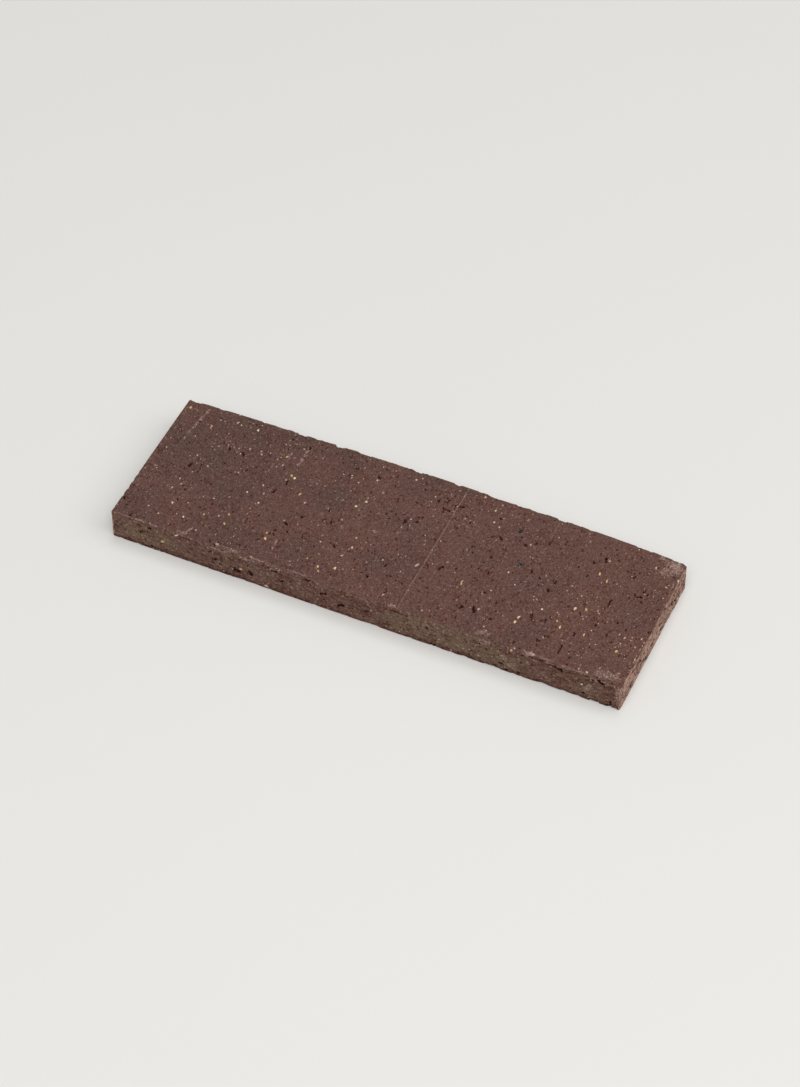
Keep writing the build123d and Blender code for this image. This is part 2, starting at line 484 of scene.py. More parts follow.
# Amounts are depths in millimetres
RELIEF = [
    Layer("skin", "slow waves", 34.0, 0.2, 0.8, 0.16),
    Layer("skin", "dents", 7.0, 0.2, 0.8, 0.12),
    Layer("skin", "grain", 2.4, 0.2, 0.8, 0.18, (1, 0.7, 1)),
    Layer("skin", "fine grain", 1.1, 0.2, 0.8, 0.20),
    Layer("side", "lumps", 6.0, 0.30, 0.75, 0.50, (0.5, 1, 1)),
    Layer("side", "tears", 1.8, 0.52, 0.68, 0.60, (0.4, 1, 1)),
    Layer("end", "wire drag", 1.0, 0.35, 0.65, 0.35, (1, 0.15, 1)),
    Layer("end", "torn pits", 1.1, 0.56, 0.68, 0.60, (1, 0.6, 1)),
    Layer("arris", "flakes", 4.5, 0.46, 0.64, 0.70),
    Layer("arris", "crumbs", 1.5, 0.48, 0.64, 0.50),
    Layer("pore", "open pores", 0.7, 0.05, 0.40, 0.80),
]

# Amounts are shares of cover by the colour named
TONES = [
    Layer("right", "warm", 24.0, 0.05, 0.60, 1.0),
    Layer("skin", "ash", 14.0, 0.40, 0.75, 0.25, (1, 0.8, 1)),
    Layer("skin", "ash", 2.0, 0.45, 0.70, 0.15, (1, 0.8, 1)),
    Layer("skin", "burnt", 3.4, 0.50, 0.76, 0.28, (1, 0.7, 1)),
    Layer("skin", "burnt", 1.0, 0.50, 0.70, 0.45, (1, 0.6, 1)),
    Layer("skin", "dust", 0.9, 0.55, 0.75, 0.30, (1, 0.6, 1)),
    Layer("side", "pale", 6.0, 0.00, 0.50, 0.90, (0.5, 1, 1)),
    Layer("bloom", "olive", 3.0, -0.10, 0.40, 0.85, (0.4, 1, 1)),
    Layer("side", "burnt", 4.0, 0.42, 0.72, 0.45, (0.6, 1, 1)),
    Layer("side", "burnt", 1.3, 0.56, 0.68, 0.65, (0.6, 1, 1)),
    Layer("side", "dust", 1.0, 0.52, 0.66, 0.32, (0.6, 1, 1)),
    # Partly painted shade near the floor, partly darker clay: the sides and ends darken towards the back, in
    # the burnt colour
    Layer("foot", "burnt", 1.6, 0.10, 0.55, 0.70, (0.5, 1, 1)),
    Layer("end", "cut", 2.0, 0.10, 0.50, 1.0, (1, 0.4, 1)),
    Layer("end", "burnt", 3.0, 0.42, 0.70, 0.55, (1, 0.5, 1)),
    Layer("end", "burnt", 1.0, 0.48, 0.62, 0.75, (1, 0.4, 1)),
    Layer("end", "dust", 0.9, 0.50, 0.62, 0.80, (1, 0.5, 1)),
    # Painted shade: dark pits on the ends, in the near-black colour that stands in for their shadow
    Layer("end", "pore", 1.0, 0.57, 0.64, 0.90, (1, 0.6, 1)),
    Layer("arris", "burnt", 1.1, 0.52, 0.62, 0.50),
    Layer("arris", "dust", 0.8, 0.42, 0.58, 0.70),
    Layer("stain", "slate", 1.2, 0.25, 0.55, 0.85),
    Layer("scuff", "dust", 2.5, 0.25, 0.60, 0.25),
    Layer("scuff", "dust", 0.6, 0.50, 0.60, 0.85),
    Layer("pore", "burnt", 0.6, -0.10, 0.15, 0.90),
    # Painted shade: the middles of the pores take the near-black colour that stands in for their shadow
    Layer("pore", "pore", 0.5, 0.12, 0.30, 1.0),
]

# Specks too small for the mesh, spaced and sized in millimetres. They keep to crowds, which
# are crowd millimetres across. Share is how many of the points there have a speck, and rise
# is how far it stands out of the skin, or sinks into it.
Speck = namedtuple("Speck", "colour spacing radius share crowd drawn amount rise")
SPECKS = [
    Speck("dust", 2.0, 0.40, 0.40, 9.0, (1, 0.6, 1), 0.90, 0.2),
    Speck("dust", 1.1, 0.26, 0.40, 6.0, (1, 0.8, 1), 0.75, 0.1),
    Speck("burnt", 1.8, 0.54, 0.65, 8.0, (1, 0.6, 1), 0.90, -0.5),
    # Painted shade: the dark specks stand in for the shadow in pits too small for the mesh
    Speck("pore", 2.2, 0.48, 0.65, 11.0, (1, 0.7, 1), 1.0, -1.0),
    Speck("pore", 1.2, 0.28, 0.55, 7.0, (1, 0.8, 1), 0.95, -0.6),
]

# The edges that wear: two sides, how far wear reaches from them, how much they crumble,
# and how many millimetres they are rubbed down besides
Wear = namedtuple("Wear", "first second reach crumble rubbed")
WEAR = [
    Wear("face", "front", 3.6, 1.0, 0.45),
    Wear("face", "rear", 1.8, 0.55, 0.0),
    Wear("face", "left", 1.3, 0.5, 0.0),
    Wear("face", "right", 2.2, 0.85, 0.20),
    Wear("back", "front", 1.3, 0.45, 0.0),
    Wear("back", "rear", 2.0, 0.8, 0.0),
    Wear("back", "left", 1.6, 0.7, 0.0),
    Wear("back", "right", 1.4, 0.55, 0.0),
    Wear("front", "left", 1.0, 0.25, 0.0),
    Wear("front", "right", 2.0, 0.9, 0.0),
    Wear("rear", "left", 1.6, 0.6, 0.0),
    Wear("rear", "right", 2.0, 0.9, 0.0),
]

PAINTED = (
    "face", "side", "bloom", "foot", "end", "right", "arris", "rubbed", "pore", "chip", "scuff", "stain"
)


def swell_at(x, shape):
    """How far the rear side has fallen back from its middle, at a place along the slip."""
    return shape.rear_swell * (x / HIGH.x) ** 2


def spot(side, u, v, shape):
    """A place on the plain slip, and the side's long direction, cross direction and normal there."""
    u, v = u * MM, v * MM
    rear = HIGH.y - swell_at(u, shape)
    diagonal = math.sqrt(0.5)
    return {
        "face": ((u, v, HIGH.z), (1, 0, 0), (0, 1, 0), (0, 0, 1)),
        "back": ((u, v, LOW.z), (1, 0, 0), (0, 1, 0), (0, 0, -1)),
        "front": ((u, LOW.y, v), (1, 0, 0), (0, 0, 1), (0, -1, 0)),
        "rear": ((u, rear, v), (1, 0, 0), (0, 0, 1), (0, 1, 0)),
        "left": ((LOW.x, u, v), (0, 1, 0), (0, 0, 1), (-1, 0, 0)),
        "right": ((HIGH.x, u, v), (0, 1, 0), (0, 0, 1), (1, 0, 0)),
        "rear arris": ((u, rear, HIGH.z), (1, 0, 0), (0, 0, 1), (0, diagonal, diagonal)),
        "foot arris": ((u, LOW.y, LOW.z), (1, 0, 0), (0, 0, 1), (0, -diagonal, -diagonal)),
        "left arris": ((LOW.x, u, HIGH.z), (0, 1, 0), (0, 0, 1), (-diagonal, 0, diagonal)),
        "right arris": ((HIGH.x, u, HIGH.z), (0, 1, 0), (0, 0, 1), (diagonal, 0, diagonal)),
    }[side]


# Modelling tools


def pick(kind, wanted):
    """In edit mode, selects the vertices, edges or faces that pass a test, and nothing else."""
    bpy.ops.mesh.select_all(action="DESELECT")
    edited = bmesh.from_edit_mesh(bpy.context.object.data)
    edited.normal_update()
    for element in getattr(edited, kind):
        if wanted(element):
            element.select_set(True)
    edited.select_flush_mode()
    bmesh.update_edit_mesh(bpy.context.object.data)


def apply_modifier(piece, kind, **settings):
    """Adds a modifier with its settings to a piece, and applies it."""
    modifier = piece.modifiers.new(kind.lower(), kind)
    for name, value in settings.items():
        setattr(modifier, name, value)
    bpy.ops.object.select_all(action="DESELECT")
    bpy.context.view_layer.objects.active = piece
    bpy.ops.object.modifier_apply(modifier=modifier.name)


def feed(tree, fed, inputs):
    """Gives a node's inputs, named by identifier or name, their values or the outputs they read."""
    for name, value in inputs.items():
        socket = next(s for s in fed.inputs if name in (s.identifier, s.name))
        if isinstance(value, bpy.types.NodeSocket):
            tree.links.new(value, socket)
        else:
            socket.default_value = value


def node(tree, kind, inputs=None, output=0, **settings):
    """Adds a node with its settings and inputs, and returns one of its outputs."""
    added = tree.nodes.new(kind)
    for name, value in settings.items():
        setattr(added, name, value)
    feed(tree, added, inputs or {})
    return added.outputs[output] if added.outputs else None


def new_material(name):
    """A material with its node tree and its surface shader."""
    material = bpy.data.materials.new(name)
    material.use_nodes = True
    return material, material.node_tree, material.node_tree.nodes["Principled BSDF"]


def patches(tree, place, regions, layer, number):
    """How strongly a layer shows: noise of its size, kept inside its region and ragged at the rim."""
    shift = (37.0, 11.0, 5.0)
    moved = tuple(number * step for step in shift)
    drawn = node(
        tree,
        "ShaderNodeVectorMath",
        {"Vector": place, "Vector_001": layer.drawn, "Vector_002": moved},
        operation="MULTIPLY_ADD",
    )
    lumps = node(
        tree,
        "ShaderNodeTexNoise",
        {"Vector": drawn, "Scale": 1 / layer.size, "Detail": 2.5, "Roughness": 0.6},
    )

    # Inside a region, which is 1 there, the noise alone decides. Towards its rim it has to be higher.
    region = regions[layer.region]
    kept = node(tree, "ShaderNodeMath", {"Value": lumps, "Value_001": region}, operation="ADD")
    return node(
        tree,
        "ShaderNodeMapRange",
        {"Value": kept, "From Min": 1 + layer.start, "From Max": 1 + layer.end, "To Max": layer.amount},
        interpolation_type="SMOOTHSTEP",
    )


def vertex_places(mesh):
    """Every vertex's place, one row each, in metres."""
    places = np.empty(len(mesh.vertices) * 3, np.float32)
    mesh.vertices.foreach_get("co", places)
    return places.reshape(-1, 3)


def brush(places, marks, shape, hardness):
    """How strongly the marks cover each place: fully along a mark's middle, and not past its ragged rim."""
    bend_run, bend_swing = 1.6 * MM, 0.35 * MM
    crumb_run, crumb_share = 0.8 * MM, 0.9
    margin = 1.2
    reached = np.zeros(len(places), np.float32)
    order = np.argsort(places[:, 0])
    along_slip = places[order, 0]
    for mark in marks:
        centre, u_way, v_way, _ = (np.array(part) for part in spot(mark.side, mark.u, mark.v, shape))
        turn = math.radians(mark.turn)
        way = u_way * math.cos(turn) + v_way * math.sin(turn)
        half_width = mark.width * MM / 2
        half_run = max(mark.length * MM / 2 - half_width, 0)
        reach = half_run + half_width
        first, last = np.searchsorted(along_slip, (centre[0] - reach, centre[0] + reach))
        near = order[first:last]
        near = near[np.linalg.norm(places[near] - centre, axis=1) < margin * reach + MM]
        bends = [noise.noise_vector(Vector(place) / bend_run) for place in places[near]]
        offset = places[near] + np.array(bends).reshape(-1, 3) * bend_swing - centre
        run = np.clip(offset @ way, -half_run, half_run)
        apart = np.linalg.norm(offset - run[:, None] * way, axis=1) / half_width
        apart *= [1 + crumb_share * noise.noise(Vector(place) / crumb_run) for place in places[near]]
        cover = mark.strength * np.clip((1 - apart) * hardness, 0, 1)
        reached[near] = np.maximum(reached[near], cover)
    return reached


# The clay body


def form_slip(shape):
    """Shapes a cube into the plain slip, with its bowed rear side, round corners and soft arrises."""
    bpy.ops.object.select_all(action="DESELECT")
    bpy.ops.mesh.primitive_cube_add(size=1, location=(LOW + HIGH) / 2, scale=HIGH - LOW)
    body = bpy.context.object
    body.name = "clay_body"
    bpy.ops.object.transform_apply(location=True, rotation=True, scale=True)

    tiny = 0.01 * MM
    stations = 24
    flat, steep = 0.9, 0.1
    bpy.ops.object.mode_set(mode="EDIT")
    bpy.ops.mesh.select_mode(type="EDGE")
    pick("edges", lambda edge: abs(edge.verts[0].co.x - edge.verts[1].co.x) > tiny)
    bpy.ops.mesh.subdivide(number_cuts=stations - 1)
    bpy.ops.mesh.select_mode(type="VERT")
    for station in range(stations + 1):
        x = LOW.x + (HIGH.x - LOW.x) * station / stations
        pick("verts", lambda vert: abs(vert.co.x - x) < tiny and vert.co.y > HIGH.y - tiny)
        bpy.ops.transform.translate(value=(0, -swell_at(x, shape), 0))

    def upright(edge, front):
        first, second = (vert.co for vert in edge.verts)
        at_end = abs(first.x) > HIGH.x - tiny and abs(second.x) > HIGH.x - tiny
        return at_end and abs(first.y - second.y) < tiny and (first.y < 0) == front

    def round_face(edge, facing):
        ways = [face.normal.z * facing for face in edge.link_faces]
        return max(ways) > flat and min(ways) < steep

    bpy.ops.mesh.select_mode(type="EDGE")
    pick("edges", lambda edge: upright(edge, front=True))
    bpy.ops.mesh.bevel(offset=shape.front_corner, segments=6, affect="EDGES")
    pick("edges", lambda edge: upright(edge, front=False))
    bpy.ops.mesh.bevel(offset=shape.rear_corner, segments=6, affect="EDGES")
    pick("edges", lambda edge: round_face(edge, facing=1))
    bpy.ops.mesh.bevel(offset=shape.face_arris, segments=5, affect="EDGES")
    pick("edges", lambda edge: round_face(edge, facing=-1))
    bpy.ops.mesh.bevel(offset=shape.back_arris, segments=3, affect="EDGES")
    bpy.ops.object.mode_set(mode="OBJECT")
    return body


def scatter(rng, side, count, typical, spread, stretch, turn, strength=(1, 1), keep_off=0.0):
    """Marks scattered over one side of the slip, half of them huddled, and drawn out one way."""
    off_long_side, off_arris = 1.5, 0.8
    huddled_share, huddle_spread = 0.5, 3.5
    widest, turn_spread = 1.8, 22
    half_length = HIGH.x / MM - keep_off
    half_width = HIGH.y / MM - off_long_side - keep_off
    edge = off_arris + keep_off
    lengthways, crossways = (-half_length, half_length), (-half_width, half_width)
    upwards = (edge, HIGH.z / MM - edge)
    ranges = {
        "face": (lengthways, crossways),
        "back": (lengthways, crossways),
        "front": (lengthways, upwards),
        "rear": (lengthways, upwards),
        "left": (crossways, upwards),
        "right": (crossways, upwards),
    }[side]
    marks = []
    for _ in range(count):
        u, v = (rng.uniform(*bounds) for bounds in ranges)
        if marks and rng.random() < huddled_share:
            other = rng.choice(marks)
            huddled = (rng.gauss(other.u, huddle_spread), rng.gauss(other.v, huddle_spread))
            u, v = (min(max(at, least), most) for at, (least, most) in zip(huddled, ranges))
        width = typical * min(math.exp(rng.gauss(0, spread)), widest)
        length = width * rng.uniform(1.0, stretch)
        turned = rng.gauss(turn, turn_spread)
        marks.append(Mark(side, u, v, length, width, turned, rng.uniform(*strength)))
    return marks


def distances(places, shape):
    """How far each place is in from each of the slip's six plain sides."""
    x, y, z = places.T
    return {
        "face": HIGH.z - z,
        "back": z - LOW.z,
        "front": y - LOW.y,
        "rear": HIGH.y - swell_at(x, shape) - y,
        "right": HIGH.x - x,
        "left": x - LOW.x,
    }


def fading(away, start, run):
    """How strongly a side is felt: start at the side, and 1 less after a run in millimetres."""
    return np.clip(start - away / (run * MM), 0, 1)


def mark_body(body, shape):
    """Paints where the clay's regions are, and where it is worn, pierced, chipped, dusty or stained."""
    # With no seed of its own, noise_vector would bend the marks another way in every run
    noise.seed_set(shape.seed)
    mesh = body.data
    places = vertex_places(mesh)
    away = distances(places, shape)
    rng = random.Random(shape.seed)
    pores = list(PORES)
    for u, v in FACE_PITS:
        width = rng.uniform(0.8, 1.2)
        length = width * rng.uniform(1.2, 2.2)
        pores.append(Mark("face", u, v, length, width, rng.gauss(90, 40)))
    spread = 0.3
    for side, count, width, stretch, turn, strength in SMALL_PORES:
        pores += scatter(rng, side, count, width, spread, stretch, turn, strength)
    worn = [fading(np.maximum(away[wear.first], away[wear.second]), 1, wear.reach) for wear in WEAR]
    long_side = fading(np.minimum(away["front"], away["rear"]), start=1.3, run=1.5)
    ends = fading(np.minimum(away["left"], away["right"]), start=1.5, run=0.9)

    # The bloom and the drag of the wire are weaker just below the face, and the left end isn't rubbed
    below_face = away["face"] / MM
    painted = {
        "face": fading(away["face"], start=1.4, run=0.8),
        "side": long_side,
        "bloom": brush(places, BLOOMS, shape, hardness=1.6) * np.clip(0.45 + below_face / 6, 0, 1),
        # The foot mask darkens the sides and ends towards the back: partly painted shade near the floor,
        # partly darker clay
        "foot": np.maximum(long_side, 0.92 * ends) * fading(away["back"], start=1.1, run=5.5),
        "end": ends * np.clip(0.48 + below_face / 4, 0, 1),
        "right": 0.90 + 0.16 * places[:, 0] / HIGH.x,
        "arris": np.max([wear.crumble * close for wear, close in zip(WEAR, worn)], axis=0),
        "rubbed": np.max([wear.rubbed * close for wear, close in zip(WEAR, worn)], axis=0)
        * np.clip(away["left"] / (10 * MM), 0, 1),
        # The relief digs the pores, and the colour darkens them with painted shade
        "pore": brush(places, pores, shape, hardness=2.0),
        "chip": brush(places, CHIPS, shape, hardness=1.0),
        "scuff": brush(places, SCUFFS, shape, hardness=2.0),
        "stain": brush(places, STAINS, shape, hardness=1.2),
    }
    for name, values in painted.items():
        layer = mesh.attributes.new(name, "FLOAT", "POINT")
        layer.data.foreach_set("value", values.astype(np.float32))


def weathering():
    """The modifier tree that presses the relief into the body, measured in millimetres."""
    tree = bpy.data.node_groups.new("clay weathering", "GeometryNodeTree")
    tree.interface.new_socket("Geometry", in_out="INPUT", socket_type="NodeSocketGeometry")
    tree.interface.new_socket("Geometry", in_out="OUTPUT", socket_type="NodeSocketGeometry")
    source = node(tree, "NodeGroupInput")
    position = node(tree, "GeometryNodeInputPosition")
    normal = node(tree, "GeometryNodeInputNormal")
    place = node(tree, "ShaderNodeVectorMath", {"Vector": position, "Scale": 1 / MM}, operation="SCALE")
    regions = {"skin": 1.0}
    for name in PAINTED:
        regions[name] = node(tree, "GeometryNodeInputNamedAttribute", {"Name": name}, data_type="FLOAT")

    # The skin starts this much proud, so that only its high spots reach the slip's full size
    proud = 0.22
    lost = -proud
    for number, layer in enumerate(RELIEF):
        depth = patches(tree, place, regions, layer, number)
        lost = node(tree, "ShaderNodeMath", {"Value": lost, "Value_001": depth}, operation="ADD")

    # Chips have a rough floor, a worn arris is rounder, and the torn sides start prouder
    rubble = node(tree, "ShaderNodeTexNoise", {"Vector": place, "Scale": 1 / 1.4, "Detail": 2.0})
    rough = node(
        tree,
        "ShaderNodeMapRange",
        {"Value": rubble, "From Min": 0.2, "From Max": 0.8, "To Min": 0.6, "To Max": 1.3},
    )
    for region, share in (("chip", rough), ("rubbed", 1.0), ("side", -0.33), ("end", -0.25)):
        lost = node(
            tree,
            "ShaderNodeMath",
            {"Value": regions[region], "Value_001": share, "Value_002": lost},
            operation="MULTIPLY_ADD",
        )
    lost = node(tree, "ShaderNodeMath", {"Value": lost, "Value_001": 0.0}, operation="MAXIMUM")
    inward = node(tree, "ShaderNodeMath", {"Value": lost, "Value_001": -MM}, operation="MULTIPLY")
    offset = node(tree, "ShaderNodeVectorMath", {"Vector": normal, "Scale": inward}, operation="SCALE")
    pressed = node(tree, "GeometryNodeSetPosition", {"Geometry": source, "Offset": offset})
    node(tree, "NodeGroupOutput", {"Geometry": pressed})
    return tree


def lay_out_map(body, shape):
    """Lays each side of the body in a strip of its own on the body's UV map."""
    mesh = body.data
    places = vertex_places(mesh)
    centres = np.empty(len(mesh.polygons) * 3, np.float32)
    mesh.polygons.foreach_get("center", centres)
    away = distances(centres.reshape(-1, 3), shape)
    loop_side = np.repeat(np.argmin(np.stack(list(away.values())), axis=0), 3)
    loop_vertex = np.empty(len(mesh.loops), np.int32)
    mesh.loops.foreach_get("vertex_index", loop_vertex)
    from_corner = places[loop_vertex] - np.array(LOW, np.float32)
    gap = 2 * MM
    length, width, height = HIGH - LOW
    over_faces = 3 * gap + 2 * width
    over_sides = over_faces + 2 * gap + 2 * height

    # The two coordinates that span each side, and where its strip starts
    strips = {
        "face": (0, 1, gap, gap),
        "back": (0, 1, gap, 2 * gap + width),
        "front": (0, 2, gap, over_faces),
        "rear": (0, 2, gap, over_faces + gap + height),
        "right": (1, 2, gap, over_sides),
        "left": (1, 2, 2 * gap + width, over_sides),
    }
    flat = np.empty((len(loop_vertex), 2), np.float32)
    for number, side in enumerate(away):
        across, up, right, rise = strips[side]
        chosen = loop_side == number
        flat[chosen, 0] = from_corner[chosen, across] + right
        flat[chosen, 1] = from_corner[chosen, up] + rise
    flat /= length + 2 * gap
    layer = mesh.uv_layers.new(name="OFBake")
    layer.data.foreach_set("uv", flat.ravel())


def tone_covers(tree, place, regions):
    """Each tone's colour, and how strongly it covers the clay."""
    return [
        (layer.what, patches(tree, place, regions, layer, number + len(RELIEF)))
        for number, layer in enumerate(TONES)
    ]


def speck_covers(tree, place, regions):
    """Each kind of speck's colour and cover: cells round scattered points, with rims shaken by noise."""
    shake_run, swing = 0.9, (1.6, 1.6, 1.6)
    shaken = node(
        tree, "ShaderNodeTexNoise", {"Vector": place, "Scale": 1 / shake_run, "Detail": 2.0}, output="Color"
    )
    ragged = node(
        tree,
        "ShaderNodeVectorMath",
        {"Vector": shaken, "Vector_001": swing, "Vector_002": place},
        operation="MULTIPLY_ADD",
    )
    covers = []
    for number, speck in enumerate(SPECKS):
        crowds = Layer("skin", "crowds", speck.crowd, 0.40, 0.58, speck.amount)
        crowded = patches(tree, place, regions, crowds, number + len(RELIEF) + len(TONES))
        drawn = node(
            tree, "ShaderNodeVectorMath", {"Vector": ragged, "Vector_001": speck.drawn}, operation="MULTIPLY"
        )
        apart = node(tree, "ShaderNodeTexVoronoi", {"Vector": drawn, "Scale": 1 / speck.spacing})
        lot = apart.node.outputs["Color"]
        chosen = node(
            tree,
            "ShaderNodeMapRange",
            {"Value": lot, "From Min": 0.98 - speck.share, "From Max": 1.02 - speck.share},
        )
        rim = speck.radius / speck.spacing
        inside = node(
            tree,
            "ShaderNodeMapRange",
            {"Value": apart, "From Min": rim, "From Max": rim / 2},
            interpolation_type="SMOOTHSTEP",
        )
        amount = chosen
        for share in (inside, crowded):
            amount = node(tree, "ShaderNodeMath", {"Value": amount, "Value_001": share}, operation="MULTIPLY")
        covers.append((speck.colour, amount))
    return covers


def score_covers(tree, place, regions, grit):
    """Each score's colour and cover: a line across the face that wanders a little and is broken by grit."""
    wander_run, wander_swing, half_width, half_core, fade = 14.0, 0.8, 0.45, 0.1, 4.0
    across = node(tree, "ShaderNodeSeparateXYZ", {"Vector": place}, output="X")
    along = across.node.outputs["Y"]
    wander = node(tree, "ShaderNodeTexNoise", {"Vector": place, "Scale": 1 / wander_run, "Detail": 1.0})
    line = node(
        tree,
        "ShaderNodeMath",
        {"Value": wander, "Value_001": wander_swing, "Value_002": across},
        operation="MULTIPLY_ADD",
    )
    broken = node(
        tree, "ShaderNodeMapRange", {"Value": grit, "From Min": 0.38, "From Max": 0.60, "To Min": 0.15}
    )
    covers = []
    for score in SCORES:
        middle = score.u + wander_swing / 2
        off_line = node(tree, "ShaderNodeMath", {"Value": line, "Value_001": middle}, operation="SUBTRACT")
        apart = node(tree, "ShaderNodeMath", {"Value": off_line}, operation="ABSOLUTE")
        amount = node(
            tree,
            "ShaderNodeMapRange",
            {"Value": apart, "From Min": half_width, "From Max": half_core, "To Max": score.strength},
        )
        reached = node(
            tree,
            "ShaderNodeMapRange",
            {"Value": along, "From Min": score.front_end - fade, "From Max": score.front_end + fade},
        )
        for share in (reached, broken, regions["face"]):
            amount = node(tree, "ShaderNodeMath", {"Value": amount, "Value_001": share}, operation="MULTIPLY")
        covers.append((score.colour, amount))
    return covers


def fired_clay(colours):
    """Fired clay, wire-cut and unglazed: a dry matt skin, mottled, with open pores and pale dust. Painted
    shade darkens its pores and pits, and partly darkens the foot of its sides and ends.
    """
    material, tree, shader = new_material("fired clay, wire-cut")
    feed(tree, shader, {"IOR": 1.5, "Specular IOR Level": 0.1, "Diffuse Roughness": 0.6})
    own_place = node(tree, "ShaderNodeTexCoord", output="Object")
    place = node(tree, "ShaderNodeVectorMath", {"Vector": own_place, "Scale": 1 / MM}, operation="SCALE")
    regions = {"skin": 1.0}
    for name in PAINTED:
        regions[name] = node(tree, "ShaderNodeAttribute", output="Fac", attribute_name=name)

    # Grit is the finest grain of the skin, dusty where it's high and dark red where it's low. Real
    # grit of 0.2 mm is too fine to show here, so it is drawn three times as coarse.
    grit = node(
        tree, "ShaderNodeTexNoise", {"Vector": place, "Scale": 1 / 0.6, "Detail": 3.0, "Roughness": 0.8}
    )
    specks = speck_covers(tree, place, regions)
    height = grit
    for speck, (_, amount) in zip(SPECKS, specks):
        height = node(
            tree,
            "ShaderNodeMath",
            {"Value": amount, "Value_001": speck.rise, "Value_002": height},
            operation="MULTIPLY_ADD",
        )

    clay = (*colours.cool, 1)
    covers = tone_covers(tree, place, regions) + specks + score_covers(tree, place, regions, grit)
    for colour, amount in covers:
        over = (*getattr(colours, colour), 1)
        clay = node(
            tree,
            "ShaderNodeMix",
            {"Factor_Float": amount, "A_Color": clay, "B_Color": over},
            output=2,
            data_type="RGBA",
        )

    dusting = node(
        tree,
        "ShaderNodeMapRange",
        {"Value": grit, "From Min": 0.25, "From Max": 0.75, "To Min": -0.17, "To Max": 0.18},
    )
    clay = node(
        tree,
        "ShaderNodeVectorMath",
        {"Vector": dusting, "Vector_001": tuple(colours.dust), "Vector_002": clay},
        operation="MULTIPLY_ADD",
    )
    darkest = (0.012, 0.002, 0.001)
    clay = node(tree, "ShaderNodeVectorMath", {"Vector": clay, "Vector_001": darkest}, operation="MAXIMUM")
    dryness = node(tree, "ShaderNodeMapRange", {"Value": grit, "To Min": 0.82, "To Max": 0.98})
    bump = node(tree, "ShaderNodeBump", {"Height": height, "Strength": 0.7, "Distance": 0.25 * MM})
    feed(tree, shader, {"Base Color": clay, "Roughness": dryness, "Normal": bump})
    return material


class SLIP_OT_clay_body(Operator):
    """Models the slip's body of fired clay, with its worn arrises, chips and pores"""

    bl_idname = "brick_slip.clay_body"
    bl_label = "Clay Body"
    bl_options = {"REGISTER", "UNDO"}

    def execute(self, context):
        shape = context.scene.slip_shape
        body = form_slip(shape)
        apply_modifier(body, "REMESH", mode="VOXEL", voxel_size=shape.spacing)
        mark_body(body, shape)
        apply_modifier(body, "NODES", node_group=weathering())
        apply_modifier(body, "TRIANGULATE")

        # The back keeps a coarser mesh than the sides that are looked at
        back_ends, facing_down, kept_share = LOW.z + 1.5 * MM, -0.5, 0.12
        context.view_layer.objects.active = body
        bpy.ops.object.mode_set(mode="EDIT")
        bpy.ops.mesh.select_mode(type="FACE")
        pick(
            "faces",
            lambda face: face.normal.z < facing_down and face.calc_center_median().z < back_ends,
        )
        bpy.ops.mesh.decimate(ratio=kept_share)
        bpy.ops.object.mode_set(mode="OBJECT")
        apply_modifier(body, "DECIMATE", ratio=min(shape.triangles / len(body.data.polygons), 1.0))
        kept = np.clip(vertex_places(body.data), LOW, HIGH)
        body.data.vertices.foreach_set("co", kept.astype(np.float32).ravel())
        lay_out_map(body, shape)
        body.data.shade_smooth()
        body.data.materials.append(fired_clay(context.scene.clay_colours))
        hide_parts("brick_slip")
        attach(body, "root")
        return {"FINISHED"}


# The grog grains. Each kind has its colour and its share of the scattered grains.

GRAINS = {
    "pale grog": ("#C9A698", 60),
    "cream chamotte": ("#E4CBA3", 14),
    "amber chamotte": ("#D8AF7C", 12),
    "white quartz": ("#D8C9B8", 3),
    "ironstone": ("#2B2A2B", 4),
    "burnt shale": ("#5A2219", 8),
}


def grain_material(name, hex_colour):
    """A crushed grain fired into the clay: dull, a little glassy on its broken faces."""
    material, tree, shader = new_material(name)
    own_place = node(tree, "ShaderNodeTexCoord", output="Object")
    tone = node(tree, "ShaderNodeTexNoise", {"Vector": own_place, "Scale": 1 / (1.3 * MM), "Detail": 3.0})
    value = node(
        tree,
        "ShaderNodeMapRange",
        {"Value": tone, "From Min": 0.3, "From Max": 0.7, "To Min": 0.55, "To Max": 1.15},
    )
    base = node(
        tree, "ShaderNodeVectorMath", {"Vector": linear(hex_colour), "Scale": value}, operation="SCALE"
    )
    rough = node(tree, "ShaderNodeMapRange", {"Value": tone, "To Min": 0.6, "To Max": 0.9})
    bump = node(tree, "ShaderNodeBump", {"Height": tone, "Strength": 0.4, "Distance": 0.05 * MM})
    feed(tree, shader, {"IOR": 1.5, "Base Color": base, "Roughness": rough, "Normal": bump})
    return material


def broken_grain(seed, material):
    """A broken grain, one unit across: an icosahedron with its corners knocked about."""
    bpy.ops.object.select_all(action="DESELECT")
    bpy.ops.mesh.primitive_ico_sphere_add(subdivisions=1, radius=0.5)
    grain = bpy.context.object
    bpy.ops.object.mode_set(mode="EDIT")
    bpy.ops.mesh.select_all(action="SELECT")
    bpy.ops.transform.vertex_random(offset=0.18, seed=seed)
    bpy.ops.object.mode_set(mode="OBJECT")
    grain.data.materials.append(material)
    return grain


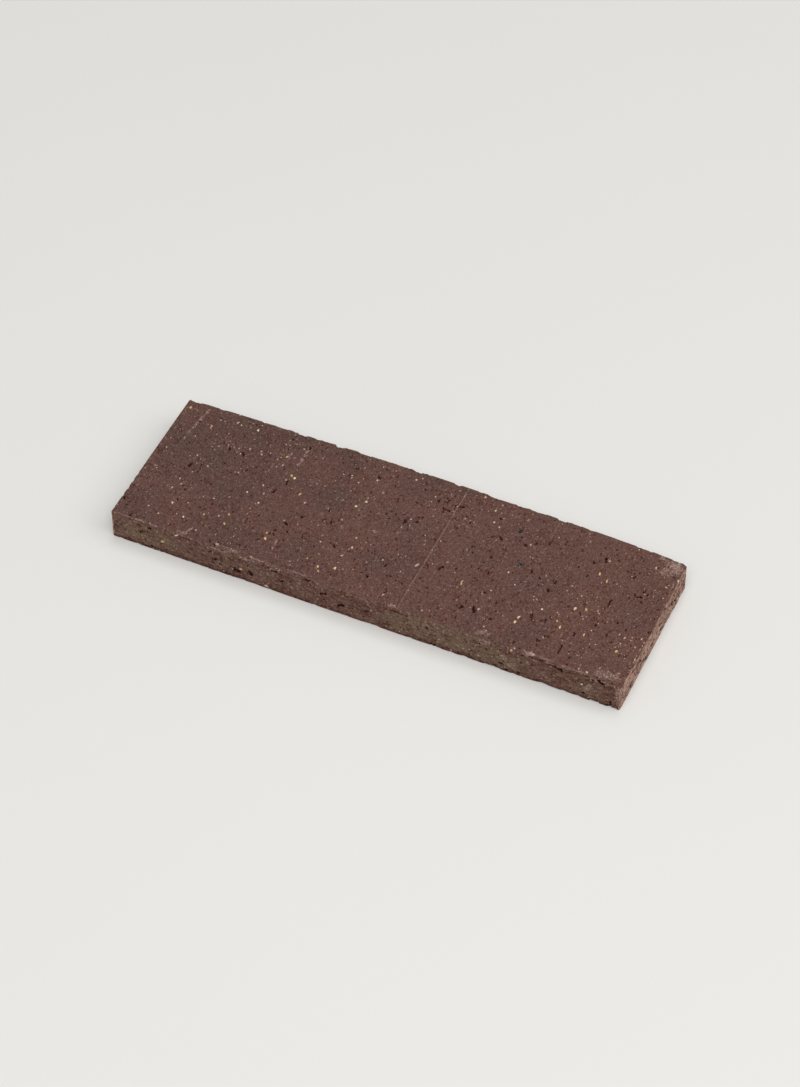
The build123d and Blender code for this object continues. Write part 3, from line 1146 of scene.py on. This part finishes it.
def set_grain(grain, mark, surface, shape):
    """A copy of a grain, sunk in the clay at its mark so that only its crown stands out."""
    place, u_way, v_way, out = (Vector(part) for part in spot(mark.side, mark.u, mark.v, shape))
    clear = 2
    hit, normal, _, _ = surface.ray_cast(place + out * clear * MM, -out)
    if hit is None:
        raise RuntimeError(f"the clay body isn't under the grain at {place}")
    turn = math.radians(mark.turn)
    long_way = u_way * math.cos(turn) + v_way * math.sin(turn)
    long_way = (long_way - normal * long_way.dot(normal)).normalized()
    axes = Matrix((long_way, normal.cross(long_way), normal)).transposed().to_4x4()
    height_share, most_height = 0.7, 0.3
    crown_share, most_crown = 0.12, 0.12
    height = min(mark.width * height_share, most_height) * MM
    crown = min(crown_share * mark.width * MM, most_crown * MM)
    size = Matrix.Diagonal((mark.length * MM, mark.width * MM, height, 1))
    copy = grain.copy()
    copy.data = grain.data.copy()
    copy.matrix_world = Matrix.Translation(hit + normal * (crown - height / 2)) @ axes @ size
    bpy.context.scene.collection.objects.link(copy)
    return copy


def join_grains(grains):
    """Joins the grains into one mesh, with no point past the slip's box."""
    bpy.ops.object.select_all(action="DESELECT")
    for grain in grains:
        grain.select_set(True)
    joined = grains[0]
    bpy.context.view_layer.objects.active = joined
    bpy.ops.object.join()
    bpy.ops.object.transform_apply(location=True, rotation=True, scale=True)
    for vertex in joined.data.vertices:
        vertex.co = [min(max(value, least), most) for value, least, most in zip(vertex.co, LOW, HIGH)]
    return joined


class SLIP_OT_grog_grains(Operator):
    """Sets the crushed grog grains into the skin of the clay body"""

    bl_idname = "brick_slip.grog_grains"
    bl_label = "Grog Grains"
    bl_options = {"REGISTER", "UNDO"}

    def execute(self, context):
        shape = context.scene.slip_shape
        mix = context.scene.grain_mix
        body = bpy.data.objects["clay_body"]
        surface = BVHTree.FromObject(body, context.evaluated_depsgraph_get())
        rng = random.Random(shape.seed + 1)
        moulds = {}
        moulds_of_a_kind = 3
        for number, (kind, (colour, _)) in enumerate(GRAINS.items()):
            material = grain_material(kind, colour)
            first = moulds_of_a_kind * number
            moulds[kind] = [broken_grain(first + turn, material) for turn in range(moulds_of_a_kind)]

        # The back, which is rarely seen, has half as many grains
        back_share = 0.5
        square_cm = 100
        slip_length, slip_width, slip_height = (HIGH - LOW) / MM
        marks = []
        chosen = [(mark, kind) for kind, marks_of_kind in LARGE_GRAINS.items() for mark in marks_of_kind]
        for side, area, turn in (
            ("face", slip_length * slip_width, 95),
            ("back", slip_length * slip_width * back_share, 95),
            ("front", slip_length * slip_height, 0),
            ("rear", slip_length * slip_height, 0),
            ("left", slip_width * slip_height, 0),
            ("right", slip_width * slip_height, 0),
        ):
            count = round(area * mix.per_square_cm / square_cm)
            marks += scatter(rng, side, count, mix.typical / MM, mix.spread, 2.0, turn, keep_off=0.6)
        for kind, places in FACE_GRAINS.items():
            for u, v in places:
                width = rng.uniform(0.6, 0.95)
                length = width * rng.uniform(1.1, 1.9)
                chosen.append((Mark("face", u, v, length, width, rng.gauss(95, 25)), kind))
        shares = [share for _, share in GRAINS.values()]
        kinds = rng.choices(list(GRAINS), weights=shares, k=len(marks))
        grains = [
            set_grain(rng.choice(moulds[kind]), mark, surface, shape) for kind, mark in zip(kinds, marks)
        ]
        grains += [set_grain(moulds[kind][0], mark, surface, shape) for mark, kind in chosen]

        for same_kind in moulds.values():
            for mould in same_kind:
                bpy.data.objects.remove(mould)
        joined = join_grains(grains)
        joined.name = "grog_grains"
        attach(joined, "root")
        return {"FINISHED"}


# The studio


def direction(azimuth, elevation):
    """The way out from the slip to a thing at this azimuth and elevation."""
    level = math.cos(elevation)
    return Vector((math.sin(azimuth) * level, -math.cos(azimuth) * level, math.sin(elevation)))


def soft_light(name, azimuth, elevation, distance, size, power):
    """A square soft light aimed at the slip."""
    light = bpy.data.lights.new(name, "AREA")
    light.shape = "SQUARE"
    light.size = size
    light.energy = power
    lamp = bpy.data.objects.new(name, light)
    way = direction(math.radians(azimuth), math.radians(elevation))
    lamp.location = way * distance
    lamp.rotation_euler = (-way).to_track_quat("-Z", "Y").to_euler()
    bpy.context.scene.collection.objects.link(lamp)
    return lamp


def paper_floor(colour):
    """Seamless background paper: matt, with a trace of tone."""
    material, tree, shader = new_material("matt background paper")
    own_place = node(tree, "ShaderNodeTexCoord", output="Object")
    tone = node(tree, "ShaderNodeTexNoise", {"Vector": own_place, "Scale": 1 / (333 * MM)})
    value = node(tree, "ShaderNodeMapRange", {"Value": tone, "To Min": 0.99, "To Max": 1.01})
    base = node(
        tree, "ShaderNodeVectorMath", {"Vector": tuple(colour), "Scale": value}, operation="SCALE"
    )
    feed(tree, shader, {"Base Color": base, "Roughness": 0.9, "Specular IOR Level": 0.2})
    return material


def room_light(colour, strength):
    """Even light from all round, which the camera sees as the floor's own pale tone."""
    world = bpy.data.worlds.new("pale room")
    world.use_nodes = True
    tree = world.node_tree
    tree.nodes.clear()
    seen = node(tree, "ShaderNodeLightPath", output="Is Camera Ray")
    for way in ("Is Glossy Ray", "Is Transmission Ray"):
        other = next(output for output in tree.nodes["Light Path"].outputs if output.name == way)
        seen = node(tree, "ShaderNodeMath", {"Value": seen, "Value_001": other}, operation="MAXIMUM")
    lit = node(tree, "ShaderNodeBackground", {"Color": (1, 1, 1, 1), "Strength": strength})
    shown = node(tree, "ShaderNodeBackground", {"Color": (*colour, 1), "Strength": 1.0})
    mixed = node(tree, "ShaderNodeMixShader", {"Fac": seen, "Shader": lit, "Shader_001": shown})
    node(tree, "ShaderNodeOutputWorld", {"Surface": mixed})
    return world


class SLIP_OT_studio(Operator):
    """Makes the pale floor, the soft lights and the camera"""

    bl_idname = "brick_slip.studio"
    bl_label = "Studio"
    bl_options = {"REGISTER", "UNDO"}

    def execute(self, context):
        scene = context.scene
        studio = scene.studio_settings
        scene.view_settings.view_transform = "Standard"

        bpy.ops.object.select_all(action="DESELECT")
        bpy.ops.mesh.primitive_plane_add(size=8.0, location=(0, 0, 0))
        floor = context.object
        floor.name = "paper_floor"
        floor.data.materials.append(paper_floor(studio.floor))

        scene.world = room_light(studio.floor, studio.sky)
        soft_light("key", azimuth=95, elevation=48, distance=2.64, size=2.0, power=studio.key_power)
        soft_light("fill", azimuth=20, elevation=60, distance=3.3, size=2.2, power=studio.fill_power)
        soft_light("top", azimuth=185, elevation=72, distance=3.0, size=1.2, power=studio.top_power)

        camera = bpy.data.objects.new("camera", bpy.data.cameras.new("camera"))
        scene.collection.objects.link(camera)
        back = direction(studio.azimuth, studio.elevation)
        right = Vector((math.cos(studio.azimuth), math.sin(studio.azimuth), 0))
        middle = Vector((-0.4 * MM, -1.0 * MM, 0))
        moved_right, moved_up = 1.43, 6.86
        aim = middle + right * moved_right * MM + back.cross(right) * moved_up * MM
        upright = (-back).to_track_quat("-Z", "Y").to_matrix().to_4x4()
        camera.matrix_world = (
            Matrix.Translation(aim + back * studio.distance) @ upright @ Matrix.Rotation(studio.roll, 4, "Z")
        )
        camera.data.sensor_width = 36
        camera.data.lens = studio.lens
        scene.camera = camera
        return {"FINISHED"}


class VIEW3D_PT_brick_slip(Panel):
    """Sidebar panel of the brick slip"""

    bl_label = "Brick Slip"
    bl_space_type = "VIEW_3D"
    bl_region_type = "UI"
    bl_category = "Brick Slip"

    def draw(self, context):
        scene = context.scene
        for settings, operator in (
            (scene.slip_shape, SLIP_OT_clay_body),
            (scene.clay_colours, None),
            (scene.grain_mix, SLIP_OT_grog_grains),
            (scene.studio_settings, SLIP_OT_studio),
        ):
            box = self.layout.box()
            for name in settings.__annotations__:
                box.prop(settings, name)
            if operator:
                box.operator(operator.bl_idname)


CLASSES = (
    SlipShape,
    ClayColours,
    GrainMix,
    StudioSettings,
    SLIP_OT_clay_body,
    SLIP_OT_grog_grains,
    SLIP_OT_studio,
    VIEW3D_PT_brick_slip,
)


def register():
    for cls in CLASSES:
        bpy.utils.register_class(cls)
    bpy.types.Scene.slip_shape = PointerProperty(type=SlipShape)
    bpy.types.Scene.clay_colours = PointerProperty(type=ClayColours)
    bpy.types.Scene.grain_mix = PointerProperty(type=GrainMix)
    bpy.types.Scene.studio_settings = PointerProperty(type=StudioSettings)


def unregister():
    del bpy.types.Scene.studio_settings
    del bpy.types.Scene.grain_mix
    del bpy.types.Scene.clay_colours
    del bpy.types.Scene.slip_shape
    for cls in reversed(CLASSES):
        bpy.utils.unregister_class(cls)


def main():
    register()
    bpy.ops.brick_slip.clay_body()
    bpy.ops.brick_slip.grog_grains()
    bpy.ops.brick_slip.studio()


if __name__ == "__main__":
    main()
